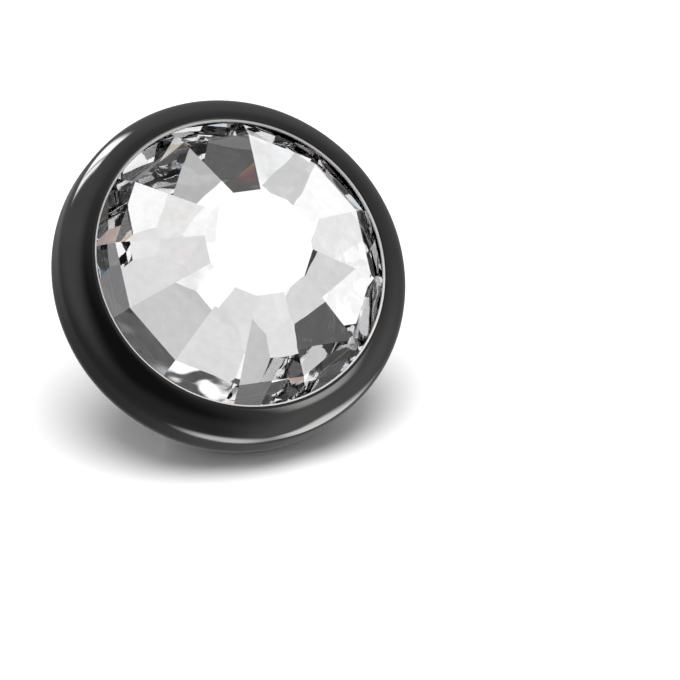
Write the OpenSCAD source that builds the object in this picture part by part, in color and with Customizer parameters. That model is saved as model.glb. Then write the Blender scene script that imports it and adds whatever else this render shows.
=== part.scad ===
// Dermal anchor top: a steel cup with a rounded rim that holds a faceted clear
// crystal, and a threaded post on its flat back. Lengths are in millimetres.
// Each piece is drawn upright: the flat back of the disc is the plane z = 0, the
// crystal faces +Z and the post points to -Z. At the end everything is leaned the
// way it lies by itself, on its rim and on the end of its post.

/* [Disc] */
// Widest diameter of the disc
disc_d = 5; // [4.6:0.1:6]
// Height of the disc, from its flat back to its lip
disc_h = 1.4; // [1.3:0.05:1.6]
// Radius of the round over the front of the rim
rim_round_r = 0.45; // [0.4:0.01:0.5]
// Radius of the round low on the side
side_round_r = 0.5; // [0.4:0.05:0.55]
// Height of the middle of the low round above the flat back
side_round_z = 0.65; // [0.6:0.05:0.75]
// How far the edge of the flat back lies inside the widest line
back_in = 0.47; // [0.44:0.01:0.6]
// Radius that softens that edge
back_edge_r = 0.12; // [0.05:0.01:0.15]

/* [Cup] */
// Wall beside the crystal where it is thinnest
wall = 0.27; // [0.22:0.01:0.35]
// How far the lip reaches in over the girdle of the crystal
lip_hold = 0.11; // [0.08:0.01:0.14]
// Depth of the bevel inside the lip
lip_bevel = 0.03; // [0.02:0.01:0.06]
// Height of the edge of the lip under its bevel
lip_h = 0.02; // [0.01:0.01:0.04]
// Thickness of the floor under the crystal
floor_h = 0.4; // [0.3:0.05:0.5]
// Clearance between the crystal and the wall and lip around it
crystal_gap = 0.06; // [0.03:0.01:0.08]
// Clearance between the bottom of the crystal and the floor
seat_gap = 0.02; // [0.01:0.01:0.05]

/* [Crystal] */
// Number of facets around the crystal
facets = 12; // [8:1:16]
// Diameter over the corners of the table
table_d = 1.55; // [1.2:0.05:2]
// Height of the table above the lip of the cup
table_rise = 0.88; // [0.7:0.02:1]
// How far the long facets end inside the girdle
crown_in = 0.33; // [0.28:0.01:0.4]
// Slope of the short facets next to the girdle, in degrees
band_a = 50; // [45:1:55]
// Thickness of the girdle
girdle_h = 0.06; // [0.04:0.01:0.1]
// How far the bottom of the crystal lies inside the girdle
bottom_in = 0.06; // [0.02:0.01:0.2]
// Turn of the crystal in its cup, in degrees
crystal_turn = 11; // [0:1:30]

/* [Post] */
// Length of the post, from the flat back to its tip
post_len = 1.65; // [1.5:0.05:2]
// Outside diameter of the thread where it starts, next to the disc
thread_d = 1.2; // [1:0.05:1.4]
// How much narrower the thread is where its end bevel begins
thread_taper = 0.05; // [0.01:0.01:0.08]
// Advance of the thread in one turn
thread_pitch = 0.25; // [0.2:0.01:0.3]
// Length of the plain neck between the disc and the thread
neck_len = 0.36; // [0.3:0.01:0.4]
// How far the foot of the neck lies inside the crests of the thread
neck_in = 0.1; // [0.08:0.01:0.12]
// How much narrower the neck is where the thread starts
neck_taper = 0.04; // [0.01:0.01:0.06]
// How far the round at the foot of the neck reaches beyond the thread
foot_reach = 0.05; // [0.02:0.01:0.1]
// Length of the plain collar that the thread starts from
collar_h = 0.07; // [0.06:0.01:0.1]
// Length of the bevel at the end of the post
tip_bevel = 0.2; // [0.2:0.01:0.25]
// How far the ring at the end lies inside the root of the thread
tip_in = 0.005; // [0.002:0.001:0.02]
// Depth of the dish turned into the end of the post
dish_h = 0.06; // [0.03:0.01:0.07]

/* [Hidden] */

// Smoothness of the turned metal, and of the winding thread
turned_fn = 96;
steps_per_turn = 24;

disc_r = disc_d / 2;
rim_c_r = disc_r - rim_round_r;
rim_c_z = disc_h - rim_round_r;
side_c_r = disc_r - side_round_r;
back_r = disc_r - back_in;

// The side rises from the edge of the back in a straight line that touches the
// low round. side_a is its slope, and side_len reaches to where it touches.
side_dist = norm([side_c_r - back_r, side_round_z]);
side_a = atan2(side_round_z, side_c_r - back_r) - asin(side_round_r / side_dist);
side_len = sqrt(side_dist * side_dist - side_round_r * side_round_r);

// The crystal fills the hollow and passes through the lip with the same
// clearance. Its short facets and the underside of the lip share one slope.
hollow_r = disc_r - wall;
girdle_r = hollow_r - crystal_gap;
lip_r = girdle_r - lip_hold;
throat_z = disc_h - lip_bevel;
under_z = throat_z - lip_h;
function band_z(r) = under_z + (lip_r - crystal_gap - r) * tan(band_a);

// The groove of the thread has sides at 60 degrees and a depth and a flat root
// in proportion to its pitch. It is cut from just outside the crests, and gets
// deeper over its first third of a turn.
thread_r = thread_d / 2;
root_r = thread_r - 0.58 * thread_pitch;
root_flat = thread_pitch / 8;
groove_out_r = thread_r + 0.08 * thread_pitch;
groove_slope = tan(30);
fade_turns = 1 / 3;
neck_r = thread_r - neck_in;
waist_r = neck_r - neck_taper / 2;
foot_round_r = neck_in + foot_reach;
collar_z = neck_len + thread_r - waist_r;
thread_z = collar_z + collar_h;
tip_r = root_r - tip_in;
groove_steps = floor(((post_len - thread_z) / thread_pitch + 0.1) * steps_per_turn);
// Turn of the thread that keeps its mouth away from the side that lies down
thread_turn = 60;
// Turn of the seams of the turned metal away from that side
seam_turn = 3.7;

// Lean of the disc from flat when its low round and the tip of its post both
// touch the ground, and the shifts that then put it on the ground and centre it.
rest_dr = side_c_r - tip_r;
rest_dz = side_round_z + post_len;
lean = atan2(rest_dz, rest_dr) - asin(side_round_r / norm([rest_dr, rest_dz]));
rest_z = tip_r * sin(lean) + post_len * cos(lean);
rim_reach = rim_c_r * cos(lean) + rim_c_z * sin(lean) + rim_round_r;
tip_reach = tip_r * cos(lean) + post_len * sin(lean);

// Rests the upright piece on its rim and the tip of its post
module rest_pose() {
    translate([0, (rim_reach - tip_reach) / 2, rest_z])
        rotate([lean, 0, 0])
            children();
}

// Half section of the disc without its hollow
module disc_section() {
    side = [cos(side_a), sin(side_a)];
    edge = [back_r, 0];
    edge_cut = back_edge_r * tan(side_a / 2);
    edge_c = [back_r - edge_cut, back_edge_r];
    polygon([
        [0, 0],
        edge - [edge_cut, 0],
        edge_c,
        edge + edge_cut * side,
        edge + side_len * side,
        [side_c_r, side_round_z],
        [disc_r, side_round_z],
        [disc_r, rim_c_z],
        [rim_c_r, rim_c_z],
        [rim_c_r, disc_h],
        [0, disc_h]
    ]);
    translate(edge_c)
        circle(r = back_edge_r, $fn = turned_fn);
    translate([side_c_r, side_round_z])
        circle(r = side_round_r, $fn = turned_fn);
    translate([rim_c_r, rim_c_z])
        circle(r = rim_round_r, $fn = turned_fn);
}

// Half section of the hollow that holds the crystal, open at the front
module hollow_section() {
    polygon([
        [0, floor_h],
        [hollow_r, floor_h],
        [hollow_r, band_z(girdle_r)],
        [lip_r, under_z],
        [lip_r, throat_z],
        [lip_r + 2 * lip_bevel, disc_h + lip_bevel],
        [0, disc_h + lip_bevel]
    ]);
}

// Half section of the post, its foot inside the disc and its tip pointing down
module post_section() {
    foot_r = neck_r + foot_round_r;
    foot_z = floor_h / 2;
    difference() {
        polygon([
            [0, foot_z],
            [foot_r, foot_z],
            [foot_r, -foot_round_r],
            [neck_r, -foot_round_r],
            [waist_r, -neck_len],
            [thread_r, -collar_z],
            [thread_r, -thread_z],
            [thread_r - thread_taper / 2, -post_len + tip_bevel],
            [tip_r, -post_len],
            [tip_r - dish_h / 2, -post_len],
            [tip_r - 2 * dish_h, -post_len + dish_h],
            [2 * dish_h, -post_len + dish_h],
            [dish_h, -post_len],
            [0, -post_len]
        ]);
        translate([foot_r, -foot_round_r])
            circle(r = foot_round_r, $fn = turned_fn);
    }
}

// Section k of the groove, counted from the disc towards the tip
function groove_section(k) =
    let (
        turns = k / steps_per_turn,
        a = turns * 360,
        z = thread_z + thread_pitch * (turns + 0.5),
        fade = max(0, 1 - turns / fade_turns),
        r = root_r + fade * (thread_r - root_r),
        half_root = root_flat / 2,
        half_out = half_root + (groove_out_r - r) * groove_slope
    )
    [for (c = [[groove_out_r, -half_out], [r, -half_root], [r, half_root], [groove_out_r, half_out]])
        [c[0] * cos(a), c[0] * sin(a), z + c[1]]];

// The groove as one solid, winding up from z = 0 like a right-hand screw
module thread_groove() {
    corners = len(groove_section(0));
    last = groove_steps * corners;
    points = [for (k = [0 : groove_steps], p = groove_section(k)) p];
    sides = [for (k = [0 : groove_steps - 1], c = [0 : corners - 1])
        let (
            a = k * corners + c,
            b = k * corners + (c + 1) % corners
        )
        each [[a, a + corners, b], [b, a + corners, b + corners]]];
    ends = [
        [for (c = [0 : corners - 1]) c],
        [for (c = [corners - 1 : -1 : 0]) last + c]
    ];
    polyhedron(points = points, faces = concat(sides, ends));
}

module setting() {
    color([0.16, 0.16, 0.17])
        rest_pose() {
            rotate([0, 0, seam_turn])
                rotate_extrude($fn = turned_fn)
                    difference() {
                        disc_section();
                        hollow_section();
                    }
            difference() {
                rotate([0, 0, seam_turn])
                    rotate_extrude($fn = turned_fn)
                        post_section();
                rotate([180, 0, thread_turn])
                    thread_groove();
            }
        }
}

// Corners of the crystal at one level, given by its radius and height
function crystal_ring(level) =
    [for (i = [0 : facets - 1])
        let (a = crystal_turn + i * 360 / facets)
        [level[0] * cos(a), level[0] * sin(a), level[1]]];

module crystal() {
    girdle_z = band_z(girdle_r);
    crown_r = girdle_r - crown_in;
    levels = [
        [girdle_r - bottom_in, floor_h + seat_gap],
        [girdle_r, girdle_z - girdle_h],
        [girdle_r, girdle_z],
        [crown_r, band_z(crown_r)],
        [table_d / 2, disc_h + table_rise]
    ];
    top = len(levels) - 1;
    points = [for (level = levels, p = crystal_ring(level)) p];
    bands = [for (k = [0 : top - 1], i = [0 : facets - 1])
        let (
            j = (i + 1) % facets,
            low = k * facets,
            high = low + facets
        )
        [low + i, high + i, high + j, low + j]];
    bottom_face = [for (i = [0 : facets - 1]) i];
    table_face = [for (i = [facets - 1 : -1 : 0]) top * facets + i];
    color([0.93, 0.95, 0.97, 0.6])
        rest_pose()
            polyhedron(points = points, faces = concat(bands, [bottom_face, table_face]));
}

setting();
crystal();
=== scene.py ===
import math

import bpy
from mathutils import Matrix, Vector


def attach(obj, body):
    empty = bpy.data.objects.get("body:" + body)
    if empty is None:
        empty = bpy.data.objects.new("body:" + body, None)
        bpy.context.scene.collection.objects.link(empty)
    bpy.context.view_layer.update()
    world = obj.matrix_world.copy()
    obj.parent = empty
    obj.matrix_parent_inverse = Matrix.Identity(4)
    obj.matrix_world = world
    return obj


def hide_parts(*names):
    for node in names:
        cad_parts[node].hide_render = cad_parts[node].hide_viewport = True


# Looks of a dermal anchor top: a dark polished steel cup that holds a clear crystal,
# silvered at its bottom and its low sides, and a threaded post on its flat back. It lies
# on its rim and on the end of its post. Lengths are in millimetres until they enter a
# mesh. Both pieces are drawn upright, the flat back in the plane z = 0 and the crystal
# facing up, and are then leaned as the part lies.

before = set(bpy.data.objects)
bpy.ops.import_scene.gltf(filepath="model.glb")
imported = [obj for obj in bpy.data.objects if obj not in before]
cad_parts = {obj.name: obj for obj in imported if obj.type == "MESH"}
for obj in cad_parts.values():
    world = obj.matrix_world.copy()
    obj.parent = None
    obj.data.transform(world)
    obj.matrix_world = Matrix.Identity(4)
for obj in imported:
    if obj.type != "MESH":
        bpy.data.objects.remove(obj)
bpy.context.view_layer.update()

MM = 0.001

# Disc and cup
DISC_R = 2.5
DISC_H = 1.4
RIM_ROUND_R = 0.45
SIDE_ROUND_R = 0.5
SIDE_ROUND_Z = 0.65
BACK_IN = 0.47
BACK_EDGE_R = 0.12
WALL = 0.27
FLOOR_H = 0.4
LIP_HOLD = 0.11
LIP_BEVEL = 0.03
LIP_H = 0.02
CRYSTAL_GAP = 0.06
SEAT_GAP = 0.02

# Crystal
FACETS = 12
TABLE_R = 0.775
TABLE_RISE = 0.88
CROWN_IN = 0.33
BAND_SLOPE = math.tan(math.radians(50))
GIRDLE_H = 0.06
BOTTOM_IN = 0.06
CRYSTAL_TURN = 11

# Post
POST_LEN = 1.65
THREAD_R = 0.6
THREAD_TAPER = 0.05
THREAD_PITCH = 0.25
THREAD_TURN = 60
GROOVE_DEPTH = 0.58 * THREAD_PITCH
GROOVE_SLOPE = math.tan(math.radians(30))
HALF_ROOT = THREAD_PITCH / 16
FADE_TURNS = 1 / 3
NECK_LEN = 0.36
NECK_IN = 0.1
NECK_TAPER = 0.04
FOOT_REACH = 0.05
COLLAR_H = 0.07
TIP_BEVEL = 0.2
TIP_IN = 0.005
DISH_H = 0.06

# Small rounds that soften the edges of the metal, and how far under the top of the lip
# the round of the rim ends
LIP_SOFT_R = 0.008
CREST_SOFT = 0.02
ROOT_SOFT = 0.01
RIM_END = 0.002

# Places that follow from the sizes above
BACK_R = DISC_R - BACK_IN
HOLLOW_R = DISC_R - WALL
GIRDLE_R = HOLLOW_R - CRYSTAL_GAP
LIP_R = GIRDLE_R - LIP_HOLD
THROAT_Z = DISC_H - LIP_BEVEL
UNDER_Z = THROAT_Z - LIP_H
SIDE_C = (DISC_R - SIDE_ROUND_R, SIDE_ROUND_Z)
RIM_C = (DISC_R - RIM_ROUND_R, DISC_H - RIM_ROUND_R)
NECK_R = THREAD_R - NECK_IN
WAIST_R = NECK_R - NECK_TAPER / 2
FOOT_ROUND_R = NECK_IN + FOOT_REACH
ROOT_R = THREAD_R - GROOVE_DEPTH
TIP_R = ROOT_R - TIP_IN
COLLAR_Z = NECK_LEN + THREAD_R - WAIST_R
THREAD_Z = COLLAR_Z + COLLAR_H

# Mesh of the turned metal: columns around it, turn of one step of an arc, and longest
# steps along its section
COLUMNS = 176
ARC_STEP = math.radians(6)
PLAIN_STEP = 0.06
THREAD_STEP = 0.0045

# Surfaces: linear colours, scales in cells for each millimetre, and depths of bumps. Wear
# reaches its full strength within the first distance and ends at the second. Most of a
# noise lies between NOISE_LOW and NOISE_HIGH.
NOISE_LOW = 0.3
NOISE_HIGH = 0.7
PLATED_DARK = (0.235, 0.23, 0.232)
PLATED_PALE = (0.268, 0.262, 0.258)
PLATED_ROUGH = (0.07, 0.11)
TURNED_SCALE = 9
TURNED_ROUGH = 0.015
CLOUD_SCALE = 1.1
GRAIN_SCALE = 26
GRAIN_SHARE = 0.04
STEEL_BUMP = 0.0009
WORN_STEEL = (0.95, 0.94, 0.93)
WORN_ROUGH = 0.3
LEAST_WEAR = 0.8
LIP_WEAR = (0.009, 0.017)
LIP_WEAR_DEPTH = (0.06, 0.08)
LIP_MATT = 0.6
CREST_WEAR = (0.012, 0.032)
CREST_SHARE = 0.5
THREAD_END_SOFT = 0.05
GLASS_IOR = 1.5
GLASS_COOL = (0.985, 0.99, 1)
GLASS_WARM = (1, 0.995, 0.985)
GLASS_ROUGH = (0, 0.004)
GLASS_WAVE_SCALE = 0.7
MARK_SCALE = 17
MARK_SHARE = 0.003
GLASS_BUMP = 0.004
FOIL_DARK = (0.9, 0.9, 0.91)
FOIL_PALE = (0.96, 0.96, 0.96)
FOIL_ROUGH = (0, 0.02)
FOIL_WAVE_SCALE = 0.9
MOTTLE_SCALE = 7
MOTTLE_SHARE = 0.008
FOIL_BUMP = 0.008

# Floor, and the lamp over it with its power in watts
FLOOR_HALF = 300
FLOOR_WHITE = (0.9, 0.9, 0.9)
FLOOR_ROUGH = 0.15
LAMP_D = 200
LAMP_Z = 200
LAMP_POWER = 0.5

# Camera: its angle to the face of the crystal is the photograph's. The view is as wide as
# this at the face, whose middle lies this far right of and above the middle of the view.
VIEW_AZIMUTH = math.radians(-23.8)
VIEW_ELEVATION = math.radians(28.7)
LENS = 400
SENSOR = 36
VIEW_WIDTH = 9.405
FACE_RIGHT = -1.369
FACE_UP = 1.077
CLIP_NEAR = 10
CLIP_FAR = 1000

# Studio light, as panels around the part: azimuth from the front and elevation of their
# middle, half width, half height and softness in degrees, and level. Later ones cover
# earlier ones, and a base is the level where no panel is. The metal and the crystal have
# panels of their own, and the floor has an even dome. FRINGE is how far the crystal's
# panels lie higher in blue, and lower in red.
METAL_BASE = 0.12
METAL_LIGHT = {
    "left wall": (-150, 20, 70, 60, 30, 0.2),
    "right wall": (150, 0, 45, 60, 25, 0.22),
    "low right": (45, -30, 45, 50, 30, 0.26),
    "low left": (-80, -40, 80, 30, 25, 0.07),
    "dark front": (-28, 25, 38, 40, 22, 0.02),
    "under the disc": (0, -90, 180, 14, 8, 1.6),
    "strip behind": (-167, 27, 11, 16, 4, 4.2),
    "gap in the strip": (-163, 30, 2, 16, 2, 1.2),
    "low strip": (78, -56, 26, 15, 8, 2.1),
    "small front panel": (32, 28, 9, 12, 6, 1.1),
}
CRYSTAL_BASE = 0.1
CRYSTAL_LIGHT = {
    "dome": (0, 50, 180, 48, 4, 1.25),
    "front left": (-36, 44, 5, 6, 2, 1),
    "pale front": (25, 36, 5, 4, 1.5, 1.08),
    "pale right": (49, 35, 3.5, 4, 1.5, 1.03),
    "light grey front": (35, 34, 3, 3, 1.5, 0.85),
    "light grey low": (43, 22, 4, 5, 1.5, 0.98),
    "front right": (28, 26, 6, 7, 2, 0.92),
    "grey overhead": (14, 72, 40, 10, 3, 0.88),
    "grey high right": (68, 60, 16, 10, 3, 0.8),
    "dark front": (2, 12, 8, 16.5, 3, 0.12),
    "grey front right": (19, 13, 7, 12, 2, 0.55),
    "grey front left": (-16, 24, 7, 8, 2, 0.75),
    "grey high left": (-24, 62, 20, 9, 2, 0.78),
    "dark high": (-13, 51, 9, 6, 2, 0.05),
    "grey high front": (29, 62, 8, 5, 2, 0.8),
    "grey upper right": (66, 66, 8, 3.5, 1.5, 0.6),
    "grey right": (66, 49, 12, 4, 1.5, 0.64),
    "grey lower right": (60, 40, 10, 4.5, 1.5, 0.8),
    "small grey": (33, 43, 4, 4, 2, 0.78),
    "dark right": (101, 31, 24, 18, 3, 0.05),
    "first dark wedge": (91.6, 54, 1.7, 6, 0.5, 0.03),
    "second dark wedge": (87, 54, 1, 6, 0.5, 0.06),
    "light wedge": (82.4, 42, 0.8, 7, 0.5, 0.5),
    "low grey": (44, 34, 4, 4, 2, 0.4),
    "low right": (54, 18, 7, 11, 3, 0.3),
    "lower right": (72, 31, 8, 6, 2, 0.18),
    "dark left": (-114, 38, 36, 31, 3, 0.05),
    "dark high left": (-52, 75, 14, 5, 2, 0.12),
    "dark overhead": (97, 68, 9, 4, 2, 0.15),
}
FRINGE = 0.6
FLOOR_DOME = (0.6, 0.6, 0.6)
LIGHT_BOUNCES = 18


def rest_pose():
    """The lean and place of the part as it lies on its rim and the end of its post."""
    side_r, side_z = SIDE_C
    rim_r, rim_z = RIM_C
    rest_dr, rest_dz = side_r - TIP_R, side_z + POST_LEN
    lean = math.atan2(rest_dz, rest_dr) - math.asin(SIDE_ROUND_R / math.hypot(rest_dr, rest_dz))
    rest_z = TIP_R * math.sin(lean) + POST_LEN * math.cos(lean)
    rim_reach = rim_r * math.cos(lean) + rim_z * math.sin(lean) + RIM_ROUND_R
    tip_reach = TIP_R * math.cos(lean) + POST_LEN * math.sin(lean)
    place = Matrix.Translation((0, (rim_reach - tip_reach) / 2, rest_z))
    return place @ Matrix.Rotation(lean, 4, "X")


REST = rest_pose()


def arc(centre, radius, start, end):
    """Points on an arc of the section, from one angle to the other, in radians."""
    steps = max(2, math.ceil(abs(end - start) / ARC_STEP))
    return [Vector((centre[0] + radius * math.cos(start + (end - start) * k / steps),
                    centre[1] + radius * math.sin(start + (end - start) * k / steps)))
            for k in range(steps + 1)]


def rounded(before, corner, after, radius):
    """The arc that rounds a corner of the section between its two straight sides."""
    to_before = (Vector(before) - Vector(corner)).normalized()
    to_after = (Vector(after) - Vector(corner)).normalized()
    half = to_before.angle(to_after) / 2
    centre = Vector(corner) + (to_before + to_after).normalized() * radius / math.sin(half)
    reach = radius / math.tan(half)
    first, last = (Vector(corner) + side * reach - centre for side in (to_before, to_after))
    start = math.atan2(first.y, first.x)
    turn = (math.atan2(last.y, last.x) - start + math.pi) % (2 * math.pi) - math.pi
    return arc(centre, radius, start, start + turn)


def spaced(points, step):
    """The same line with extra points, so that none are further apart than step."""
    line = [points[0]]
    for a, b in zip(points, points[1:]):
        count = max(1, math.ceil((b - a).length / step))
        line += [a.lerp(b, k / count) for k in range(1, count + 1)]
    return line


def soft_min(a, b, reach):
    """The smaller of a and b, with a round where they cross."""
    closeness = max(reach - abs(a - b), 0) / reach
    return min(a, b) - closeness * closeness * reach / 4


def groove_radius(angle, z):
    """Radius of the thread's groove at this angle and height, far outside where it isn't cut."""
    turns = ((THREAD_TURN - math.degrees(angle)) / 360) % 1
    radius = DISC_R
    while THREAD_Z + THREAD_PITCH * turns < POST_LEN:
        away = max(0, abs(-z - THREAD_Z - THREAD_PITCH * (turns + 0.5)) - HALF_ROOT)
        shallow = max(0, 1 - turns / FADE_TURNS)
        root = ROOT_R + shallow * (THREAD_R - ROOT_R)
        radius = min(radius, root + (math.hypot(away, ROOT_SOFT) - ROOT_SOFT) / GROOVE_SLOPE)
        turns += 1
    return radius


def band_z(radius):
    """Height of the slope that the short facets and the underside of the lip share."""
    return UNDER_Z + (LIP_R - CRYSTAL_GAP - radius) * BAND_SLOPE


def tip_section():
    """The dished end of the post, from its axis out to the foot of its bevel."""
    low, high = -POST_LEN, -POST_LEN + DISH_H
    soft = DISH_H / 4
    corners = [(0, low), (DISH_H, low), (2 * DISH_H, high), (TIP_R - 2 * DISH_H, high),
               (TIP_R - DISH_H / 2, low), (TIP_R, low), (TIP_R + TIP_BEVEL / 2, low + TIP_BEVEL)]
    line = [Vector(corners[0])]
    radii = [soft, soft, soft, soft / 2, soft / 2]
    for before, corner, after, radius in zip(corners, corners[1:], corners[2:], radii):
        line += rounded(before, corner, after, radius)
    return line


def post_section():
    """The outside of the threaded part without its groove, from the bevel to the collar."""
    return [Vector(p) for p in (
        (THREAD_R - THREAD_TAPER / 2, -POST_LEN + TIP_BEVEL),
        (THREAD_R, -THREAD_Z),
        (THREAD_R, -COLLAR_Z))]


def neck_section():
    """The neck and the round at its foot, up to the flat back."""
    line = [Vector((WAIST_R, -NECK_LEN)), Vector((NECK_R, -FOOT_ROUND_R))]
    return line + rounded((NECK_R, -NECK_LEN), (NECK_R, 0), (BACK_R, 0), FOOT_ROUND_R)


def disc_outside_section():
    """The flat back, the side and the round rim, up to the bevel of the lip."""
    edge = Vector((BACK_R, 0))
    to_centre = Vector(SIDE_C) - edge
    side_a = math.atan2(to_centre.y, to_centre.x) - math.asin(SIDE_ROUND_R / to_centre.length)
    side = Vector((math.cos(side_a), math.sin(side_a)))
    line = rounded((0, 0), edge, edge + side, BACK_EDGE_R)
    line += arc(SIDE_C, SIDE_ROUND_R, side_a - math.pi / 2, 0)
    return line + arc(RIM_C, RIM_ROUND_R, 0, math.asin(1 - RIM_END / RIM_ROUND_R))


def lip_section():
    """The lip and the hollow of the cup, down to the middle of its floor."""
    corners = [(LIP_R + LIP_BEVEL, DISC_H), (LIP_R, THROAT_Z), (LIP_R, UNDER_Z),
               (HOLLOW_R, band_z(GIRDLE_R)), (HOLLOW_R, FLOOR_H), (0, FLOOR_H)]
    line = []
    for before, corner, after in zip(corners, corners[1:], corners[2:]):
        line += rounded(before, corner, after, LIP_SOFT_R)
    return line + [Vector(corners[-1])]


def setting_section():
    """The whole section as rows of (radius, height, whether the thread's groove may cut it)."""
    tip = spaced(tip_section(), PLAIN_STEP)
    post = spaced([tip[-1]] + post_section(), THREAD_STEP)[1:]
    disc = spaced([post[-1]] + neck_section() + disc_outside_section() + lip_section(), PLAIN_STEP)[1:]
    stretches = ((tip, False), (post, True), (disc, False))
    return [(p.x, p.y, threaded) for line, threaded in stretches for p in line]


def new_piece(name, verts, faces):
    """A piece from upright points in millimetres, leaned as the part lies, in metres."""
    mesh = bpy.data.meshes.new(name)
    mesh.from_pydata([REST @ v * MM for v in verts], [], faces)
    mesh.update()
    piece = bpy.data.objects.new(name, mesh)
    bpy.context.scene.collection.objects.link(piece)
    return piece


def turned_mesh(name, section):
    """A closed mesh turned from a section that starts and ends on the axis."""
    verts = [Vector((0, 0, section[0][1]))]
    for radius, z, threaded in section[1:-1]:
        for k in range(COLUMNS):
            a = 2 * math.pi * k / COLUMNS
            r = soft_min(radius, groove_radius(a, z), CREST_SOFT) if threaded else radius
            verts.append(Vector((r * math.cos(a), r * math.sin(a), z)))
    verts.append(Vector((0, 0, section[-1][1])))
    rings = len(section) - 2
    top = 1 + (rings - 1) * COLUMNS
    last = len(verts) - 1
    faces = []
    for k in range(COLUMNS):
        n = (k + 1) % COLUMNS
        faces.append((0, 1 + n, 1 + k))
        faces.append((top + k, top + n, last))
        for ring in range(rings - 1):
            low = 1 + ring * COLUMNS
            faces.append((low + k, low + n, low + COLUMNS + n, low + COLUMNS + k))
    return new_piece(name, verts, faces)


def crystal_ring(radius, z):
    """The corners of the crystal at one level."""
    angles = [math.radians(CRYSTAL_TURN + k * 360 / FACETS) for k in range(FACETS)]
    return [Vector((radius * math.cos(a), radius * math.sin(a), z)) for a in angles]


def crystal_mesh(name):
    """The cut crystal, upwards band by band, then its table and its bottom."""
    crown_r = GIRDLE_R - CROWN_IN
    levels = [(GIRDLE_R - BOTTOM_IN, FLOOR_H + SEAT_GAP), (GIRDLE_R, band_z(GIRDLE_R) - GIRDLE_H),
              (GIRDLE_R, band_z(GIRDLE_R)), (crown_r, band_z(crown_r)),
              (TABLE_R, DISC_H + TABLE_RISE)]
    verts = [p for level in levels for p in crystal_ring(*level)]
    faces = []
    for level in range(len(levels) - 1):
        low = level * FACETS
        for k in range(FACETS):
            n = (k + 1) % FACETS
            faces.append((low + k, low + n, low + FACETS + n, low + FACETS + k))
    top = (len(levels) - 1) * FACETS
    faces.append(tuple(range(top, top + FACETS)))
    faces.append(tuple(reversed(range(FACETS))))
    return new_piece(name, verts, faces)


def shaded_material(name):
    """A new material with one main shader: the material, its node tree and that shader."""
    material = bpy.data.materials.new(name)
    material.use_nodes = True
    tree = material.node_tree
    tree.nodes.clear()
    out = tree.nodes.new("ShaderNodeOutputMaterial")
    shader = tree.nodes.new("ShaderNodeBsdfPrincipled")
    tree.links.new(shader.outputs["BSDF"], out.inputs["Surface"])
    return material, tree, shader


def feed(tree, socket, value):
    """Gives a socket its value: another node's output, a colour or a number."""
    if isinstance(value, bpy.types.NodeSocket):
        tree.links.new(value, socket)
    elif isinstance(value, tuple):
        socket.default_value = (*value, 1)
    else:
        socket.default_value = value


def math_node(tree, operation, *values):
    """The output of a math node on these sockets or numbers."""
    node = tree.nodes.new("ShaderNodeMath")
    node.operation = operation
    for socket, value in zip(node.inputs, values):
        feed(tree, socket, value)
    return node.outputs[0]


def mixed(tree, factor, first, second):
    """A number between two, each a number or a socket."""
    node = tree.nodes.new("ShaderNodeMix")
    feed(tree, node.inputs[0], factor)
    feed(tree, node.inputs[2], first)
    feed(tree, node.inputs[3], second)
    return node.outputs[0]


def mixed_colour(tree, factor, first, second):
    """A colour between two, each a colour or a socket."""
    node = tree.nodes.new("ShaderNodeMix")
    node.data_type = "RGBA"
    feed(tree, node.inputs[0], factor)
    feed(tree, node.inputs[6], first)
    feed(tree, node.inputs[7], second)
    return node.outputs[2]


def fade(tree, away, inner, outer):
    """1 where a distance to either side is under inner, falling to 0 at outer."""
    node = tree.nodes.new("ShaderNodeMapRange")
    node.interpolation_type = "SMOOTHSTEP"
    node.inputs["From Min"].default_value = outer
    node.inputs["From Max"].default_value = inner
    tree.links.new(math_node(tree, "ABSOLUTE", away), node.inputs["Value"])
    return node.outputs[0]


def near(tree, value, middle, inner, outer):
    """1 where a value is within inner of the middle, falling to 0 at outer from it."""
    return fade(tree, math_node(tree, "SUBTRACT", value, middle), inner, outer)


def noise(tree, vector, scale, detail):
    """Noise from 0 to 1 with this many cells in a millimetre."""
    node = tree.nodes.new("ShaderNodeTexNoise")
    node.inputs["Scale"].default_value = scale
    node.inputs["Detail"].default_value = detail
    tree.links.new(vector, node.inputs["Vector"])
    return node.outputs[0]


def spread(tree, value, low, high):
    """Stretches the middle of a noise over low to high."""
    node = tree.nodes.new("ShaderNodeMapRange")
    node.inputs["From Min"].default_value = NOISE_LOW
    node.inputs["From Max"].default_value = NOISE_HIGH
    node.inputs["To Min"].default_value = low
    node.inputs["To Max"].default_value = high
    tree.links.new(value, node.inputs["Value"])
    return node.outputs[0]


def with_share(tree, first, second, share):
    """The first value with a share of the second added."""
    return math_node(tree, "ADD", first, math_node(tree, "MULTIPLY", second, share))


def bump(tree, height, depth, shader):
    """Bumps of this depth, in millimetres, under a shader."""
    node = tree.nodes.new("ShaderNodeBump")
    node.inputs["Strength"].default_value = 1
    node.inputs["Distance"].default_value = depth * MM
    tree.links.new(height, node.inputs["Height"])
    tree.links.new(node.outputs[0], shader.inputs["Normal"])


def upright(tree):
    """Place on the upright part, in millimetres."""
    coord = tree.nodes.new("ShaderNodeTexCoord")
    stand = tree.nodes.new("ShaderNodeMapping")
    stand.vector_type = "TEXTURE"
    stand.inputs["Location"].default_value = REST.translation * MM
    stand.inputs["Rotation"].default_value = REST.to_euler()
    stand.inputs["Scale"].default_value = (MM, MM, MM)
    tree.links.new(coord.outputs["Object"], stand.inputs["Vector"])
    return stand.outputs[0]


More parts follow.
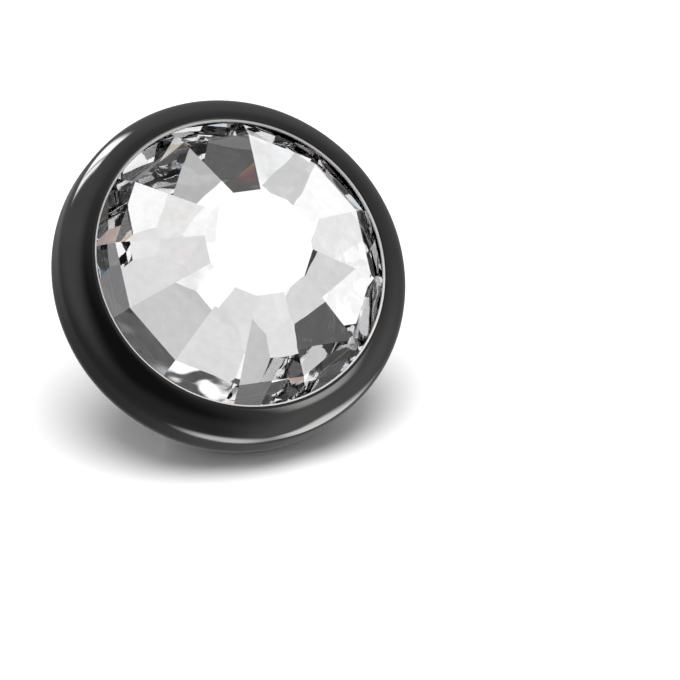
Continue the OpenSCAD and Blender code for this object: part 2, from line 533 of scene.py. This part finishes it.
def turned_place(tree, place):
    """Distance from the axis and height of a place, and both as a vector."""
    split = tree.nodes.new("ShaderNodeSeparateXYZ")
    tree.links.new(place, split.inputs[0])
    x, y, height = split.outputs
    squares = [math_node(tree, "MULTIPLY", side, side) for side in (x, y)]
    radius = math_node(tree, "SQRT", math_node(tree, "ADD", *squares))
    both = tree.nodes.new("ShaderNodeCombineXYZ")
    tree.links.new(radius, both.inputs[0])
    tree.links.new(height, both.inputs[1])
    return radius, height, both.outputs[0]


def lip_wear(tree, radius, height):
    """1 on the bevel inside the lip, which is rubbed bright."""
    return math_node(tree, "MULTIPLY", near(tree, radius, LIP_R + LIP_BEVEL / 2, *LIP_WEAR),
                     near(tree, height, DISC_H, *LIP_WEAR_DEPTH))


def crest_wear(tree, radius, height):
    """1 on the crests of the thread."""
    length = POST_LEN - THREAD_Z
    return math_node(tree, "MULTIPLY", near(tree, radius, THREAD_R, *CREST_WEAR),
                     near(tree, height, -POST_LEN, length, length + THREAD_END_SOFT))


def steel_material():
    """Black plated steel, turned and polished, rubbed bright at the lip and the crests."""
    material, tree, shader = shaded_material("black_steel")
    place = upright(tree)
    radius, height, section = turned_place(tree, place)
    turned = noise(tree, section, TURNED_SCALE, 3)
    cloud = noise(tree, place, CLOUD_SCALE, 4)
    grain = noise(tree, place, GRAIN_SCALE, 3)
    lip = lip_wear(tree, radius, height)
    crest = math_node(tree, "MULTIPLY", crest_wear(tree, radius, height), CREST_SHARE)
    worn = math_node(tree, "MULTIPLY", math_node(tree, "MAXIMUM", lip, crest),
                     spread(tree, cloud, LEAST_WEAR, 1))
    plated = mixed_colour(tree, spread(tree, cloud, 0, 1), PLATED_DARK, PLATED_PALE)
    tree.links.new(mixed_colour(tree, worn, plated, WORN_STEEL), shader.inputs["Base Color"])
    tree.links.new(with_share(tree, 1, lip, -LIP_MATT), shader.inputs["Metallic"])
    rough = math_node(tree, "ADD", spread(tree, cloud, *PLATED_ROUGH),
                      spread(tree, turned, -TURNED_ROUGH, TURNED_ROUGH))
    tree.links.new(with_share(tree, rough, worn, WORN_ROUGH), shader.inputs["Roughness"])
    bump(tree, with_share(tree, turned, grain, GRAIN_SHARE), STEEL_BUMP, shader)
    return material


def glass_material():
    """Clear cut crystal, its facets almost flat, with a few fine marks from handling."""
    material, tree, shader = shaded_material("clear_crystal")
    shader.inputs["IOR"].default_value = GLASS_IOR
    shader.inputs["Transmission Weight"].default_value = 1
    place = upright(tree)
    wave = noise(tree, place, GLASS_WAVE_SCALE, 1)
    marks = noise(tree, place, MARK_SCALE, 4)
    tree.links.new(mixed_colour(tree, wave, GLASS_COOL, GLASS_WARM), shader.inputs["Base Color"])
    tree.links.new(spread(tree, marks, *GLASS_ROUGH), shader.inputs["Roughness"])
    bump(tree, with_share(tree, wave, marks, MARK_SHARE), GLASS_BUMP, shader)
    return material


def foil_material():
    """The silvering behind the crystal, slightly wavy and mottled."""
    material, tree, shader = shaded_material("silver_foil")
    shader.inputs["Metallic"].default_value = 1
    place = upright(tree)
    wave = noise(tree, place, FOIL_WAVE_SCALE, 2)
    mottle = noise(tree, place, MOTTLE_SCALE, 3)
    tree.links.new(mixed_colour(tree, spread(tree, mottle, 0, 1), FOIL_DARK, FOIL_PALE),
                   shader.inputs["Base Color"])
    tree.links.new(spread(tree, mottle, *FOIL_ROUGH), shader.inputs["Roughness"])
    bump(tree, with_share(tree, wave, mottle, MOTTLE_SHARE), FOIL_BUMP, shader)
    return material


def floor_material():
    """Plain and pale."""
    material, tree, shader = shaded_material("pale_floor")
    shader.inputs["Base Color"].default_value = (*FLOOR_WHITE, 1)
    shader.inputs["Roughness"].default_value = FLOOR_ROUGH
    return material


def add_floor():
    """A square floor, which neither the metal nor the crystal mirrors."""
    size = FLOOR_HALF * MM
    mesh = bpy.data.meshes.new("floor")
    mesh.from_pydata([(-size, -size, 0), (size, -size, 0), (size, size, 0), (-size, size, 0)],
                     [], [(0, 1, 2, 3)])
    mesh.materials.append(floor_material())
    floor = bpy.data.objects.new("floor", mesh)
    bpy.context.scene.collection.objects.link(floor)
    floor.visible_glossy = False
    floor.visible_transmission = False


def direction(tree):
    """Azimuth from the front and elevation of the direction that is looked in, in degrees."""
    coord = tree.nodes.new("ShaderNodeTexCoord")
    split = tree.nodes.new("ShaderNodeSeparateXYZ")
    tree.links.new(coord.outputs["Generated"], split.inputs[0])
    x, y, z = split.outputs
    azimuth = math_node(tree, "ARCTAN2", x, math_node(tree, "MULTIPLY", y, -1))
    elevation = math_node(tree, "ARCSINE", z)
    return [math_node(tree, "DEGREES", angle) for angle in (azimuth, elevation)]


def panel_light(tree, base, panels, shifts):
    """The light from a direction, once for each shift of the panels upwards, in degrees."""
    azimuth, elevation = direction(tree)
    levels = [base for shift in shifts]
    for at, up, half_width, half_height, soft, light in panels.values():
        aside = math_node(tree, "WRAP", math_node(tree, "SUBTRACT", azimuth, at), 180, -180)
        across = fade(tree, aside, max(half_width - soft, 0), half_width + soft)
        for k, shift in enumerate(shifts):
            along = near(tree, elevation, up + shift, max(half_height - soft, 0), half_height + soft)
            levels[k] = mixed(tree, math_node(tree, "MULTIPLY", across, along), levels[k], light)
    return levels


def add_world():
    """The studio around the part. What is seen through the crystal has coloured edges."""
    world = bpy.data.worlds.new("studio")
    bpy.context.scene.world = world
    world.use_nodes = True
    tree = world.node_tree
    tree.nodes.clear()
    metal = panel_light(tree, METAL_BASE, METAL_LIGHT, [0])[0]
    through = tree.nodes.new("ShaderNodeCombineColor")
    levels = panel_light(tree, CRYSTAL_BASE, CRYSTAL_LIGHT, [-FRINGE, 0, FRINGE])
    for socket, level in zip(through.inputs, levels):
        tree.links.new(level, socket)
    path = tree.nodes.new("ShaderNodeLightPath")
    seen = mixed_colour(tree, path.outputs["Is Transmission Ray"], metal, through.outputs[0])
    studio = mixed_colour(tree, path.outputs["Is Diffuse Ray"], seen, FLOOR_DOME)
    back = tree.nodes.new("ShaderNodeBackground")
    tree.links.new(studio, back.inputs["Color"])
    out = tree.nodes.new("ShaderNodeOutputWorld")
    tree.links.new(back.outputs[0], out.inputs["Surface"])


def add_lamp():
    """A soft lamp over the floor, which is not seen in the metal or the crystal."""
    light = bpy.data.lights.new("overhead", "AREA")
    light.shape = "DISK"
    light.size = LAMP_D * MM
    light.energy = LAMP_POWER
    lamp = bpy.data.objects.new("overhead", light)
    bpy.context.scene.collection.objects.link(lamp)
    lamp.location = (0, 0, LAMP_Z * MM)
    lamp.visible_glossy = False
    lamp.visible_transmission = False
    lamp.visible_camera = False


def add_camera():
    """The camera, a long way off, so that the view is almost without perspective."""
    towards = Vector((math.sin(VIEW_AZIMUTH) * math.cos(VIEW_ELEVATION),
                      -math.cos(VIEW_AZIMUTH) * math.cos(VIEW_ELEVATION),
                      math.sin(VIEW_ELEVATION)))
    right = Vector((math.cos(VIEW_AZIMUTH), math.sin(VIEW_AZIMUTH), 0))
    up = towards.cross(right)
    middle = REST @ Vector((0, 0, DISC_H)) - FACE_RIGHT * right - FACE_UP * up
    distance = VIEW_WIDTH * LENS / SENSOR
    data = bpy.data.cameras.new("camera")
    data.lens = LENS
    data.sensor_width = SENSOR
    data.clip_start = CLIP_NEAR * MM
    data.clip_end = CLIP_FAR * MM
    camera = bpy.data.objects.new("camera", data)
    bpy.context.scene.collection.objects.link(camera)
    turn = Matrix((right, up, towards)).transposed().to_4x4()
    camera.matrix_world = Matrix.Translation((middle + towards * distance) * MM) @ turn
    bpy.context.scene.camera = camera


add_camera()
setting = turned_mesh("setting_piece", setting_section())
for polygon in setting.data.polygons:
    polygon.use_smooth = True
setting.data.materials.append(steel_material())
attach(setting, "root")
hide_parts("setting")

crystal = crystal_mesh("crystal_piece")
crystal.data.materials.append(glass_material())
crystal.data.materials.append(foil_material())
# The silvering is on the lowest band of faces and on the bottom, which is the last face
silvered = [*range(FACETS), len(crystal.data.polygons) - 1]
for polygon in crystal.data.polygons:
    polygon.material_index = 1 if polygon.index in silvered else 0
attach(crystal, "root")
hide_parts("crystal")

add_floor()
add_world()
add_lamp()
bpy.context.scene.view_settings.view_transform = "Standard"
bpy.context.scene.cycles.max_bounces = LIGHT_BOUNCES
bpy.context.scene.cycles.glossy_bounces = LIGHT_BOUNCES
bpy.context.scene.cycles.transmission_bounces = LIGHT_BOUNCES
